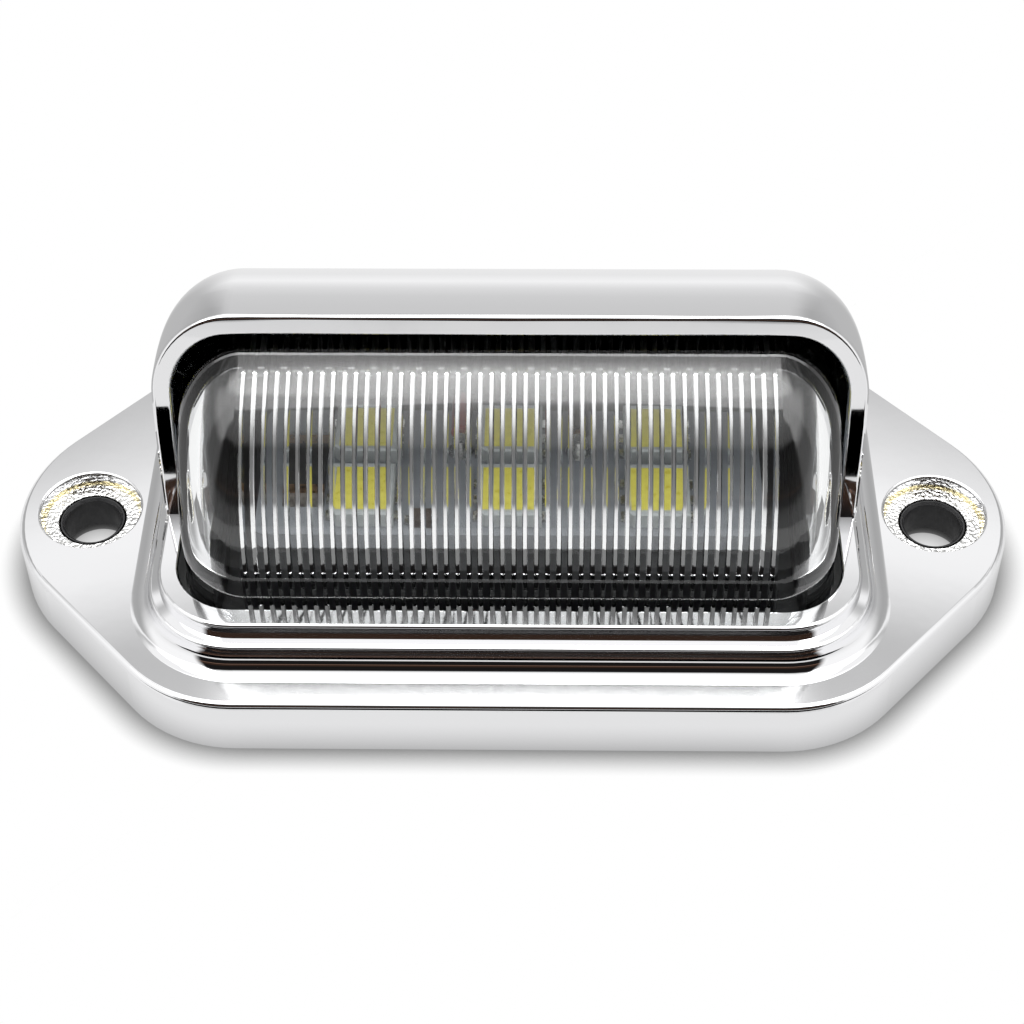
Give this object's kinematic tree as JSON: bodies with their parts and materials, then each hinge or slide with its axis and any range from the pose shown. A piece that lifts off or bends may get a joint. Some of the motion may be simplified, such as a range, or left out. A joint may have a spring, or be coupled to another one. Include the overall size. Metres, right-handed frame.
{
  "type": "number plate lamp",
  "caption": "Chrome hooded number plate lamp: flat plate with screw ears, stepped collar, half-round hood and a clear fluted lens over a lamp board, on a black rear base.",
  "frame": {"origin": "middle of the flat mounting face", "axes": "+X along the lamp from screw to screw, the open side of the hood looks along -Y, +Z away from the mounting face"},
  "size_m": [0.08, 0.0406, 0.026],
  "materials": {
    "chrome_plating": "mirror-bright plating on plastic",
    "clear_plastic": "clear, polished",
    "gasket_rubber": "matt black",
    "black_plastic": "fine moulded grain",
    "sealing_resin": "self-levelled, slightly glossy",
    "board_face": "grey solder mask",
    "led_package": "white moulded",
    "led_phosphor": "translucent yellow gel",
    "solder": "bright solder",
    "chip_black": "matt black",
    "chip_brown": "dark moulded",
    "wire_red": "smooth insulation",
    "wire_black": "smooth insulation",
    "copper": "tinned strands"
  },
  "bodies": {
    "root": {"housing": "chrome_plating", "lens": "clear_plastic", "lens_gasket": "gasket_rubber", "rear_base": "black_plastic", "potting": "sealing_resin", "circuit_board": "board_face", "led_terminals": "solder", "resistor_body": "chip_black", "resistor_caps": "solder", "resistor_solder": "solder", "diode_body": "chip_brown", "diode_terminals": "solder", "lead_red": "wire_red", "lead_black": "wire_black", "lead_conductors": "copper", "solder_joints": "solder", "led_1": "led_package", "led_1_phosphor": "led_phosphor", "led_2": "led_package", "led_2_phosphor": "led_phosphor", "led_3": "led_package", "led_3_phosphor": "led_phosphor", "led_4": "led_package", "led_4_phosphor": "led_phosphor", "led_5": "led_package", "led_5_phosphor": "led_phosphor", "led_6": "led_package", "led_6_phosphor": "led_phosphor"}
  },
  "joints": []
}
